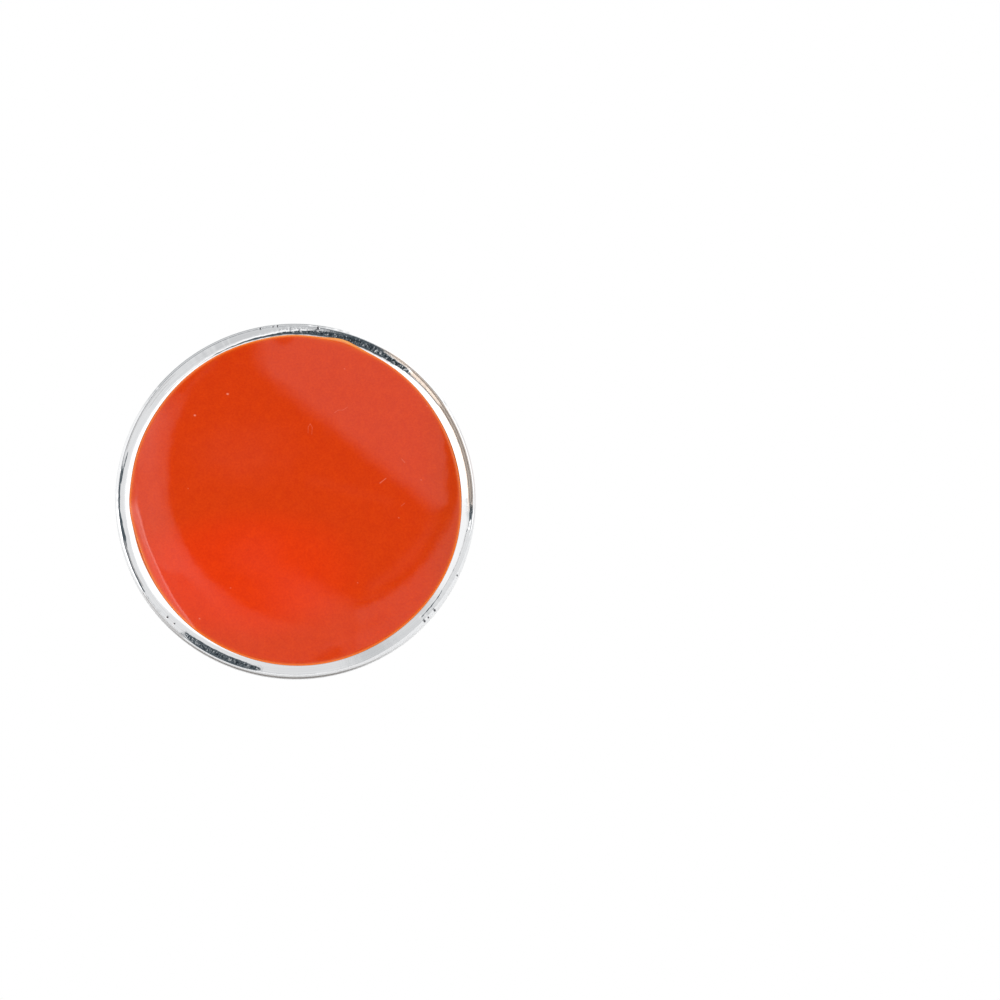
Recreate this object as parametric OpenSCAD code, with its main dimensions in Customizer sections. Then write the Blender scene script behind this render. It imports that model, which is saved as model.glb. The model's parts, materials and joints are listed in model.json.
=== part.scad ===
// Enamel stud earring: a silver dish with a rounded lip and a soldered ear post,
// filled with an even dome of enamel whose edge was spread by hand.
// The stud lies as it would by itself: on the back edge of the dish, at its foot,
// and on the tip of the post, with the enamel looking up and forwards (-Y).

/* [Dish] */
// Diameter across the lip
dish_d = 20; // [16:0.5:28]
// Height of the lip's crest above the flat back
dish_h = 1.6; // [1.5:0.05:2.4]
// Thickness of the metal under the enamel
floor_t = 0.6; // [0.4:0.05:0.65]
// Rounding between the back and the outer wall
back_round = 0.5; // [0.3:0.05:0.6]
// Radius of the lip's outer roll
lip_roll = 0.22; // [0.15:0.01:0.3]
// Radius of the slope that falls from the lip's crest to the enamel
lip_slope = 1.1; // [1.1:0.05:1.6]
// Width of the whole lip, from the outer wall to the cavity
lip_w = 1.1; // [1:0.05:1.2]

/* [Enamel] */
// Mean width of the silver that shows around the enamel
silver_w = 0.74; // [0.65:0.01:0.85]
// Height of the enamel's even dome above the lip's crest
crown_h = 0.8; // [0.3:0.05:1.5]
// Width over which the dome bends up or down to where its uneven edge meets the metal
edge_bend = 0.45; // [0.3:0.05:0.8]
// Gap between the enamel and the metal
enamel_gap = 0.03; // [0.02:0.01:0.05]

/* [Ear post] */
// Diameter of the post
post_d = 0.8; // [0.7:0.05:1]
// Length of the post behind the back
post_l = 10.5; // [8:0.5:12]
// How far above the middle of the dish the post stands
post_up = 3.2; // [1.5:0.1:5]
// Distance from the post's tip to the groove that holds the clutch
groove_from_tip = 2; // [1.5:0.1:3]
// Depth of that groove
groove_depth = 0.08; // [0.04:0.01:0.12]
// Size of the solder that climbs the post's root
solder_r = 0.7; // [0.4:0.05:1]

/* [Hidden] */

silver = [0.80, 0.81, 0.83];
orange_red = [0.86, 0.22, 0.07];

dish_r = dish_d / 2;
crest_r = dish_r - lip_roll;
cavity_r = dish_r - lip_w;
enamel_r = dish_r - silver_w;
post_r = post_d / 2;

// Where the solder's hollow is centred, as a share of its radius below the back.
// Under 1, it meets the back at a shallow angle instead of running out to nothing.
solder_drop = 0.93;
// How far the post's foot is let into the metal of the back
post_foot = 0.3;
// Radius of the clutch groove's hollow
groove_r = 0.25;

// Swells of the hand-spread edge: where each one is, counted from +X on the face,
// how far it reaches beyond the mean edge, and half its width.
// columns: angle_deg, reach_mm, half_width_deg
EDGE_SWELLS = [
    [13, -0.099, 33],
    [73, 0.177, 5.9],
    [90, 0.072, 10.4],
    [149, -0.080, 22.8],
    [183, 0.101, 8.3],
    [196, -0.190, 24.3],
    [275, 0.156, 28.6],
    [328, 0.066, 25.6],
];

// Steps of the enamel's mesh: sectors round it, rings over its top and rings down its side
SECTORS = 144;
TOP_RINGS = 12;
SIDE_RINGS = 4;
// Below 1, the top's rings crowd towards the edge, where the enamel bends most
RING_CROWDING = 0.6;

// Smallest signed angle between two directions, in degrees
function turn(a, b) = ((a - b + 540) % 360) - 180;

// Radius of the enamel's edge in one direction
function edge_r(angle) = enamel_r + sum([
    for (s = EDGE_SWELLS) s[1] * exp(-pow(turn(angle, s[0]) / s[2], 2))
]);
function sum(v, i = 0) = i < len(v) ? v[i] + sum(v, i + 1) : 0;

// Height of the lip's slope at radius r, raised by the gap
function slope_z(r) =
    dish_h - lip_slope + sqrt(pow(lip_slope + enamel_gap, 2) - pow(crest_r - r, 2));

// Height of the even dome at radius r
function dome_z(r) =
    let (crown = dish_h + crown_h)
    crown - (crown - slope_z(enamel_r)) * pow(r / enamel_r, 2);

// Height of the enamel's top at radius r, where its edge is at radius e. It is the even
// dome, and only close to the edge it bends to meet the metal's slope.
function top_z(r, e) = dome_z(r) + (slope_z(e) - dome_z(e)) * exp((r - e) / edge_bend);

// How the stud rests. Its side view is made of round corners: [up, forward, radius],
// with up measured along the face from its middle and forward from the back.
foot_corner = [-(dish_r - back_round), back_round, back_round];
head_corner = [dish_r - back_round, back_round, back_round];
foot_lip = [-crest_r, dish_h - lip_roll, lip_roll];
head_lip = [crest_r, dish_h - lip_roll, lip_roll];
tip_corner = [post_up, -(post_l - post_r), post_r];
CORNERS = [foot_corner, head_corner, foot_lip, head_lip, tip_corner];

// Angle between the face and the floor, where both the foot and the tip touch it
span = tip_corner[0] - foot_corner[0];
drop = foot_corner[1] - tip_corner[1];
rest_tilt = atan2(drop, span) + asin((post_r - back_round) / norm([span, drop]));

// Place of a corner's centre once the stud is tilted: [along +Y, along +Z]
function tilted(c) = [
    c[0] * cos(rest_tilt) - c[1] * sin(rest_tilt),
    c[0] * sin(rest_tilt) + c[1] * cos(rest_tilt)
];
back_y = max([for (c = CORNERS) tilted(c)[0] + c[2]]);
front_y = min([for (c = CORNERS) tilted(c)[0] - c[2]]);
floor_z = min([for (c = CORNERS) tilted(c)[1] - c[2]]);

// Lays the stud down, with the middle of its footprint over the origin
module at_rest() {
    translate([0, -(back_y + front_y) / 2, -floor_z])
        rotate([rest_tilt, 0, 0])
            children();
}

// Half of a plain disc's section, with the dish's round back edge and round outer roll
module disc_section() {
    square([dish_r - back_round, back_round]);
    translate([0, back_round]) square([dish_r, dish_h - lip_roll - back_round]);
    translate([0, dish_h - lip_roll]) square([crest_r, lip_roll]);
    translate([dish_r - back_round, back_round]) intersection() {
        circle(back_round);
        translate([0, -back_round]) square(back_round);
    }
    translate([crest_r, dish_h - lip_roll]) intersection() {
        circle(lip_roll);
        square(lip_roll);
    }
}

// Half of the dish's section: the disc less its cavity and what stands above the slope
module dish_section() {
    slope_centre = dish_h - lip_slope;
    slope_low = slope_centre + sqrt(pow(lip_slope, 2) - pow(crest_r - cavity_r, 2));
    difference() {
        disc_section();
        translate([0, floor_t]) square([cavity_r, dish_h]);
        difference() {
            translate([0, slope_low]) square([crest_r, dish_h]);
            translate([crest_r, slope_centre]) circle(lip_slope);
        }
    }
}

// Half of the post's section, with z = 0 at the back and the tip below it
module post_section() {
    difference() {
        union() {
            translate([0, -(post_l - post_r)]) square([post_r, post_l - post_r + post_foot]);
            intersection() {
                translate([0, -(post_l - post_r)]) circle(post_r);
                translate([0, -post_l]) square([post_r, post_r]);
            }
        }
        translate([post_r - groove_depth + groove_r, -(post_l - groove_from_tip)])
            circle(groove_r);
    }
    // solder climbing the root
    difference() {
        translate([0, -solder_drop * solder_r])
            square([post_r + solder_r, solder_drop * solder_r + post_foot]);
        translate([post_r + solder_r, -solder_drop * solder_r]) circle(solder_r);
    }
}

module setting() {
    color(silver) at_rest() union() {
        rotate_extrude($fn = 180) dish_section();
        translate([0, post_up, 0]) rotate_extrude($fn = 60) post_section();
    }
}

// The enamel's rings from the middle of its top, over the edge and down the slope,
// to the middle of its underside
module enamel() {
    under_r = cavity_r - enamel_gap;
    bed_z = floor_t + enamel_gap;
    angles = [for (i = [0:SECTORS - 1]) i * 360 / SECTORS];
    top_shares = [for (k = [1:TOP_RINGS]) pow(k / TOP_RINGS, RING_CROWDING)];
    side_shares = [for (k = [1:SIDE_RINGS]) k / SIDE_RINGS];

    function ring(radii, heights) = [
        for (i = [0:SECTORS - 1])
            [radii[i] * cos(angles[i]), radii[i] * sin(angles[i]), heights[i]]
    ];
    function at_share(e, share) = e + (under_r - e) * share;

    edges = [for (a = angles) edge_r(a)];
    top_rings = [
        for (t = top_shares)
            ring([for (e = edges) e * t], [for (e = edges) top_z(e * t, e)])
    ];
    side_rings = [
        for (t = side_shares)
            ring([for (e = edges) at_share(e, t)], [for (e = edges) slope_z(at_share(e, t))])
    ];
    base_ring = ring([for (e = edges) under_r], [for (e = edges) bed_z]);

    rings = concat(top_rings, side_rings, [base_ring]);
    crown = [0, 0, dish_h + crown_h];
    base = [0, 0, bed_z];
    points = concat([crown], [for (r = rings) each r], [base]);
    last = len(points) - 1;

    function at(ring_no, i) = 1 + ring_no * SECTORS + i % SECTORS;
    fan = [for (i = [0:SECTORS - 1]) [0, at(0, i + 1), at(0, i)]];
    bands = [
        for (k = [0:len(rings) - 2], i = [0:SECTORS - 1]) each [
            [at(k, i), at(k, i + 1), at(k + 1, i + 1)],
            [at(k, i), at(k + 1, i + 1), at(k + 1, i)]
        ]
    ];
    underside = [
        for (i = [0:SECTORS - 1]) [last, at(len(rings) - 1, i), at(len(rings) - 1, i + 1)]
    ];

    color(orange_red) at_rest() polyhedron(points, concat(fan, bands, underside));
}

setting();
enamel();
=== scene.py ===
"""Looks of the enamel stud earring: a polished setting, glossy enamel and soft studio light."""

import json
import logging
import math
from dataclasses import dataclass, fields
from enum import Enum
from functools import cached_property
from typing import Any, Callable, Iterable, Sequence

import bmesh
import bpy
from mathutils import Matrix, Vector


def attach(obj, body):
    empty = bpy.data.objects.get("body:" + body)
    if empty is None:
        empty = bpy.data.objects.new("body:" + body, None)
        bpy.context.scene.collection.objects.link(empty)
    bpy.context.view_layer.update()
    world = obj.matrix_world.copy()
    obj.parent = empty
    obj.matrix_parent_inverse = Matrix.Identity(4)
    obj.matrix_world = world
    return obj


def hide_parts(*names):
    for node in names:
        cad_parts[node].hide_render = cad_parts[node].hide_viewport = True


LOG = logging.getLogger("stud")
MM = 0.001
Pair = tuple[float, float]
Colour = tuple[float, float, float]
WHITE: Colour = (1.0, 1.0, 1.0)
# least width, in millimetres, that a length is divided by
LEAST = 1e-6
# the attribute that tells how far inside its edge a point of the enamel is
INWARD = "inward"

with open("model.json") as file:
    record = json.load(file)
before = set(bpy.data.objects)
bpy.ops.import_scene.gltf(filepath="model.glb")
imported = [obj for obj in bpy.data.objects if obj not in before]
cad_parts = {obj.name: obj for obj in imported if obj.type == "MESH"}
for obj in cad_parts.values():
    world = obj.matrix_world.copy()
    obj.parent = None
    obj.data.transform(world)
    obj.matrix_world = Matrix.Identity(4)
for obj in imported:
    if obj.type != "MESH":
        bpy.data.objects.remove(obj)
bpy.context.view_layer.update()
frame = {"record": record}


class Slot(Enum):
    """The record's material slots."""

    SILVER = "polished_silver"
    ENAMEL = "enamel"


@dataclass(frozen=True)
class Noise:
    """A soft noise: its scale, how many finer layers it has and how strong those are."""

    scale: float
    detail: float = 2.0
    rough: float = 0.5


class Field:
    """A number that varies over a surface. Python's operators on it add Math nodes."""

    def __init__(self, graph: "Graph", socket: bpy.types.NodeSocket) -> None:
        """Wraps one output socket of a graph."""
        self.graph = graph
        self.socket = socket

    def __add__(self, other: Any) -> "Field":
        """Sum."""
        return self.graph.math("ADD", self, other)

    def __radd__(self, other: Any) -> "Field":
        """Sum, from the right."""
        return self.graph.math("ADD", other, self)

    def __sub__(self, other: Any) -> "Field":
        """Difference."""
        return self.graph.math("SUBTRACT", self, other)

    def __rsub__(self, other: Any) -> "Field":
        """Difference, from the right."""
        return self.graph.math("SUBTRACT", other, self)

    def __mul__(self, other: Any) -> "Field":
        """Product."""
        return self.graph.math("MULTIPLY", self, other)

    def __rmul__(self, other: Any) -> "Field":
        """Product, from the right."""
        return self.graph.math("MULTIPLY", other, self)

    def __truediv__(self, other: Any) -> "Field":
        """Quotient."""
        return self.graph.math("DIVIDE", self, other)

    def __pow__(self, other: Any) -> "Field":
        """Power."""
        return self.graph.math("POWER", self, other)

    def __abs__(self) -> "Field":
        """The number without its sign."""
        return self.graph.math("ABSOLUTE", self)


class Graph:
    """A node tree, with one way to make its nodes and one to feed their sockets."""

    def __init__(self, tree: bpy.types.NodeTree) -> None:
        """Starts from an empty tree."""
        self.tree = tree
        tree.nodes.clear()

    def feed(self, socket: bpy.types.NodeSocket, value: Any) -> None:
        """Links a socket to a field or an output, or sets its value.

        Args:
            socket: The input to feed.
            value: A Field, an output socket or a plain value.
        """
        if isinstance(value, Field):
            value = value.socket
        if isinstance(value, bpy.types.NodeSocket):
            self.tree.links.new(value, socket)
        else:
            socket.default_value = value

    def node(self, kind: str, settings: dict[str, Any] | None = None,
             sockets: dict[Any, Any] | None = None) -> bpy.types.Node:
        """Makes one node.

        Args:
            kind: Its type.
            settings: Its properties, set first.
            sockets: What feeds its inputs, by number, identifier or name.

        Returns:
            The node.
        """
        made = self.tree.nodes.new(kind)
        for name, value in (settings or {}).items():
            setattr(made, name, value)
        for key, value in (sockets or {}).items():
            if isinstance(key, int):
                socket = made.inputs[key]
            else:
                socket = next(s for s in made.inputs if key in (s.identifier, s.name))
            self.feed(socket, value)
        return made

    def math(self, operation: str, *values: Any) -> Field:
        """The result of one Math node, with its numbers or fields."""
        made = self.node("ShaderNodeMath", {"operation": operation}, dict(enumerate(values)))
        return Field(self, made.outputs[0])

    def vector(self, operation: str, *values: Any) -> bpy.types.NodeSocket:
        """The vector that one Vector Math node makes of others."""
        made = self.node("ShaderNodeVectorMath", {"operation": operation}, dict(enumerate(values)))
        return made.outputs["Vector"]

    def dot(self, vector: Any, direction: Sequence[float]) -> Field:
        """A vector's share along a fixed direction."""
        made = self.node("ShaderNodeVectorMath", {"operation": "DOT_PRODUCT"},
                         {0: vector, 1: tuple(direction)})
        return Field(self, made.outputs["Value"])

    def split(self, vector: Any) -> list[Field]:
        """A vector's three parts."""
        return [Field(self, part) for part in self.node("ShaderNodeSeparateXYZ", None, {0: vector}).outputs]

    def join(self, *parts: Any) -> bpy.types.NodeSocket:
        """The vector of two or three parts."""
        return self.node("ShaderNodeCombineXYZ", None, dict(enumerate(parts))).outputs[0]

    def hypot(self, first: Field, second: Field) -> Field:
        """Length of a vector with two parts."""
        return self.math("SQRT", first * first + second * second)

    def clamp(self, value: Any, low: float, high: float) -> Field:
        """The value, held between low and high."""
        return self.math("MINIMUM", self.math("MAXIMUM", value, low), high)

    def largest(self, first: Any, *others: Any) -> Field:
        """The largest of several values."""
        for other in others:
            first = self.math("MAXIMUM", first, other)
        return first

    def mix(self, factor: Any, first: Any, second: Any) -> Field:
        """The number from first, where the factor is 0, to second, where it is 1."""
        return (second - first) * factor + first

    def step(self, value: Any, low: float, high: float) -> Field:
        """Rises smoothly from 0 at low to 1 at high; low may be the larger one."""
        made = self.node("ShaderNodeMapRange", {"interpolation_type": "SMOOTHSTEP"},
                         {"Value": value, "From Min": low, "From Max": high})
        return Field(self, made.outputs[0])

    def bump(self, value: Any, middle: float, reach: float) -> Field:
        """1 where the value is at the middle, falling smoothly to 0 at the reach on both sides."""
        return self.step(abs(value - middle), reach, 0.0)

    def band(self, value: Any, rise: Pair, fall: Pair) -> Field:
        """1 between two places: it rises smoothly over the first pair and falls over the second."""
        return self.step(value, *rise) * self.step(value, *reversed(fall))

    def off_line(self, x: Field, y: Field, start: Pair, end: Pair) -> Field:
        """Distance from the line between two places.

        Args:
            x: Each point's place across.
            y: Each point's place up or down.
            start: Where the line starts.
            end: Where it ends.

        Returns:
            The distance, in the unit of the places.
        """
        run = Vector(end) - Vector(start)
        size, run = run.length, run.normalized()
        dx, dy = x - start[0], y - start[1]
        along = self.clamp(dx * run.x + dy * run.y, 0.0, size)
        return self.hypot(dx - along * run.x, dy - along * run.y)

    def noise(self, vector: Any, kind: Noise) -> Field:
        """Soft noise from 0 to 1 at a vector."""
        made = self.node("ShaderNodeTexNoise", None, {
            "Vector": vector, "Scale": kind.scale, "Detail": kind.detail, "Roughness": kind.rough})
        return Field(self, made.outputs[0])

    def blend(self, factor: Any, first: Any, second: Any, mode: str = "MIX") -> bpy.types.NodeSocket:
        """The colour from first, where the factor is 0, to second or their product, where it is 1."""
        made = self.node("ShaderNodeMix", {"data_type": "RGBA", "blend_type": mode}, {
            "Factor_Float": factor, "A_Color": self.rgba(first), "B_Color": self.rgba(second)})
        return next(s for s in made.outputs if s.identifier == "Result_Color")

    def relief(self, height: Any) -> bpy.types.NodeSocket:
        """The normal over a fine relief, whose height is in metres."""
        made = self.node("ShaderNodeBump", None, {"Strength": 1.0, "Distance": 1.0, "Height": height})
        return made.outputs[0]

    def plain_to_camera(self, shaded: bpy.types.Node, plain: bpy.types.Node, output: str) -> None:
        """Ends the tree with one shader for the camera's own rays and another for all others.

        Args:
            shaded: What lights and mirrors in the stud.
            plain: What the camera sees.
            output: The type of the tree's last node.
        """
        path = self.node("ShaderNodeLightPath")
        mixed = self.node("ShaderNodeMixShader", None, {
            0: path.outputs["Is Camera Ray"], 1: shaded.outputs[0], 2: plain.outputs[0]})
        self.node(output, None, {"Surface": mixed.outputs[0]})

    @staticmethod
    def rgba(colour: Any) -> Any:
        """A colour's three numbers with a full alpha; a socket as it is."""
        return (*colour, 1.0) if isinstance(colour, tuple) else colour


def new_material(name: str) -> tuple[bpy.types.Material, Graph]:
    """Makes a material with an empty graph.

    Args:
        name: Its name.

    Returns:
        The material and its graph.
    """
    made = bpy.data.materials.new(name)
    made.use_nodes = True
    return made, Graph(made.node_tree)


def new_object(name: str, data: Any) -> bpy.types.Object:
    """Makes an object at the origin and links it to the scene.

    Args:
        name: Its name.
        data: Its mesh or camera.

    Returns:
        The object.
    """
    made = bpy.data.objects.new(name, data)
    bpy.context.scene.collection.objects.link(made)
    return made


@dataclass(frozen=True)
class EdgeSwell:
    """One swell round the enamel's hand-spread edge: of its reach, its bend or its bright band."""

    angle_deg: float
    reach_mm: float
    half_width_deg: float


def turn_between(angle_deg: float, other_deg: float) -> float:
    """Smallest signed turn from one direction to another, in degrees."""
    return (angle_deg - other_deg + 540.0) % 360.0 - 180.0


@dataclass(frozen=True)
class Dish:
    """The dish's sizes, in millimetres."""

    radius: float = 10.0
    height: float = 1.6
    floor: float = 0.6
    back_round: float = 0.5
    lip_roll: float = 0.22
    lip_slope: float = 1.1
    lip_width: float = 1.1

    @property
    def crest(self) -> float:
        """Radius of the lip's crest."""
        return self.radius - self.lip_roll

    @property
    def cavity(self) -> float:
        """Radius of the cavity."""
        return self.radius - self.lip_width

    def slope_height(self, radius: float, gap: float = 0.0) -> float:
        """Height of the lip's inner slope at a radius, raised by a gap."""
        reach = self.lip_slope + gap
        return self.height - self.lip_slope + math.sqrt(reach ** 2 - (self.crest - radius) ** 2)


@dataclass(frozen=True)
class EarPost:
    """The ear post's sizes, in millimetres, and its section."""

    radius: float = 0.4
    length: float = 10.5
    up: float = 3.2
    groove_from_tip: float = 2.0
    groove_depth: float = 0.08
    groove_round: float = 0.25
    solder: float = 0.7
    solder_drop: float = 0.93
    sectors: int = 64
    tip_first_deg: int = 10
    tip_step_deg: int = 8
    groove_half_steps: int = 5
    solder_steps: int = 10

    def section(self) -> list[Pair]:
        """The post's wall from just above its tip to the back of the dish.

        Returns:
            Pairs of radius and height; the back is at height 0.
        """
        tip = -(self.length - self.radius)
        dome = [(self.radius * math.sin(a), tip - self.radius * math.cos(a))
                for a in (math.radians(d) for d in range(self.tip_first_deg, 91, self.tip_step_deg))]
        groove_z = -(self.length - self.groove_from_tip)
        centre = self.radius - self.groove_depth + self.groove_round
        half = math.acos((centre - self.radius) / self.groove_round)
        steps = range(-self.groove_half_steps, self.groove_half_steps + 1)
        groove = [(centre - self.groove_round * math.cos(a), groove_z + self.groove_round * math.sin(a))
                  for a in (half * k / self.groove_half_steps for k in steps)]
        low = -self.solder_drop * self.solder
        full = math.asin(-low / self.solder)
        fillet = [(self.radius + self.solder * (1 - math.cos(a)), low + self.solder * math.sin(a))
                  for a in (full * k / self.solder_steps for k in range(self.solder_steps + 1))]
        return dome + groove + fillet


@dataclass(frozen=True)
class RestPose:
    """How the stud lies by itself: on the foot of its back and on the post's tip."""

    tilt: float
    back: float
    up: float

    @classmethod
    def of(cls, dish: Dish, post: EarPost) -> "RestPose":
        """Works the pose out from the round corners of the stud's side view.

        Args:
            dish: The dish's sizes.
            post: The post's sizes.

        Returns:
            The pose that puts the footprint's middle over the origin.
        """
        foot = (-(dish.radius - dish.back_round), dish.back_round, dish.back_round)
        tip = (post.up, -(post.length - post.radius), post.radius)
        corners = [foot, tip]
        for side in (-1, 1):
            corners.append((side * (dish.radius - dish.back_round), dish.back_round, dish.back_round))
            corners.append((side * dish.crest, dish.height - dish.lip_roll, dish.lip_roll))
        span = tip[0] - foot[0]
        drop = foot[1] - tip[1]
        tilt = math.atan2(drop, span) + math.asin((tip[2] - foot[2]) / math.hypot(span, drop))
        ends_y = [(u * math.cos(tilt) - h * math.sin(tilt), r) for u, h, r in corners]
        ends_z = [(u * math.sin(tilt) + h * math.cos(tilt), r) for u, h, r in corners]
        middle = (max(y + r for y, r in ends_y) + min(y - r for y, r in ends_y)) / 2
        return cls(tilt, -middle, -min(z - r for z, r in ends_z))

    def matrix(self) -> Matrix:
        """Takes a point of the face, in metres, to its place in the frame."""
        shift = Matrix.Translation((0.0, self.back * MM, self.up * MM))
        return shift @ Matrix.Rotation(self.tilt, 4, "X")


class Face:
    """A material's coordinates on the face: across it, up it and out of it, in millimetres."""

    def __init__(self, graph: Graph, pose: RestPose) -> None:
        """Turns Object coordinates to lie on the face.

        Args:
            graph: The material's graph.
            pose: How the stud lies.
        """
        place = graph.node("ShaderNodeTexCoord").outputs["Object"]
        shifted = graph.vector("SUBTRACT", place, (0.0, pose.back * MM, pose.up * MM))
        turned = graph.node("ShaderNodeVectorRotate", {"rotation_type": "X_AXIS"}, {
            "Vector": shifted, "Angle": -pose.tilt})
        scaled = graph.node("ShaderNodeVectorMath", {"operation": "SCALE"}, {
            0: turned.outputs[0], "Scale": 1.0 / MM})
        self.graph = graph
        self.vector = scaled.outputs[0]
        self.across, self.up, self.out = graph.split(self.vector)

    @cached_property
    def radius(self) -> Field:
        """Distance from the middle of the face."""
        return self.graph.hypot(self.across, self.up)

    @cached_property
    def angle(self) -> Field:
        """Direction round the face, in degrees from across it."""
        return self.graph.math("ARCTAN2", self.up, self.across) * math.degrees(1.0)


def circle(turns: list[float], radius: float, height: float, up: float = 0.0) -> list[tuple[float, ...]]:
    """A ring of points, by their turns, round a middle that is a distance up the face."""
    return [(radius * math.cos(math.radians(t)), radius * math.sin(math.radians(t)) + up, height)
            for t in turns]


class Shell:
    """Skins rings of points, from one pole to the other, into one closed mesh."""

    def __init__(self, start: Sequence[float]) -> None:
        """Starts at a pole.

        Args:
            start: The pole's place.
        """
        self.points: list[tuple[float, ...]] = [tuple(start)]
        self.faces: list[tuple[int, ...]] = []
        self.last: list[int] = [0]
        self.turns: list[float] = []

    def ring(self, points: Iterable[Sequence[float]], turns: list[float]) -> None:
        """Adds a ring and joins it to the one before.

        Args:
            points: The ring's points, in order round it.
            turns: Each point's angle, from 0 up to 360.
        """
        first = len(self.points)
        self.points.extend(tuple(p) for p in points)
        new = list(range(first, len(self.points)))
        count = len(new)
        if len(self.last) == 1:
            self.faces += [(self.last[0], new[i], new[(i + 1) % count]) for i in range(count)]
        elif len(self.last) == count:
            for i in range(count):
                j = (i + 1) % count
                self.faces.append((self.last[i], new[i], new[j], self.last[j]))
        else:
            self.stitch(new, turns)
        self.last = new
        self.turns = turns

    def stitch(self, new: list[int], turns: list[float]) -> None:
        """Joins the last ring and a new one of another count with triangles.

        Args:
            new: The new ring's points, by number.
            turns: Their angles.
        """
        old, i, j = self.last, 0, 0
        old_ends = self.turns[1:] + [360.0]
        new_ends = turns[1:] + [360.0]
        while i < len(old) or j < len(new):
            a, b = old[i % len(old)], new[j % len(new)]
            if j == len(new) or (i < len(old) and old_ends[i] <= new_ends[j]):
                self.faces.append((a, b, old[(i + 1) % len(old)]))
                i += 1
            else:
                self.faces.append((a, b, new[(j + 1) % len(new)]))
                j += 1

    def close(self, end: Sequence[float]) -> None:
        """Ends at the other pole.

        Args:
            end: The pole's place.
        """
        self.points.append(tuple(end))
        pole, count = len(self.points) - 1, len(self.last)
        self.faces += [(self.last[i], pole, self.last[(i + 1) % count]) for i in range(count)]

    def mesh(self, name: str) -> bpy.types.Mesh:
        """Makes the mesh.

        Args:
            name: Its name.

        Returns:
            The mesh, with its faces not yet turned outwards.
        """
        made = bpy.data.meshes.new(name)
        made.from_pydata(self.points, [], self.faces)
        return made


def finish_mesh(mesh: bpy.types.Mesh, sharp_deg: float) -> int:
    """Turns a closed mesh's faces outwards and smooths all but its sharp edges.

    Args:
        mesh: The mesh, in place.
        sharp_deg: The angle between faces from which an edge stays sharp.

    Returns:
        The number of triangles.
    """
    work = bmesh.new()
    work.from_mesh(mesh)
    open_edges = sum(1 for e in work.edges if not e.is_manifold)
    if open_edges:
        raise ValueError(f"{mesh.name} has {open_edges} open edges")
    if work.calc_volume(signed=True) < 0:
        bmesh.ops.reverse_faces(work, faces=work.faces)
    triangles = sum(len(f.verts) - 2 for f in work.faces)
    work.to_mesh(mesh)
    work.free()
    mesh.shade_smooth()
    mesh.set_sharp_from_angle(angle=math.radians(sharp_deg))
    return triangles


@dataclass(frozen=True)
class LipSection:
    """The hand-worked top of the lip at one angle: a slope, a flatter land, a ridge and a crest."""

    angle_deg: float
    land_in: float
    land_out: float
    land_deg: float
    ridge_deg: float
    crest: float
    roll_deg: float
    near_deg: float


@dataclass(frozen=True)
class Pit:
    """A small pit in the lip."""

    angle_deg: float
    radius: float
    width: float
    depth: float = 0.06


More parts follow.
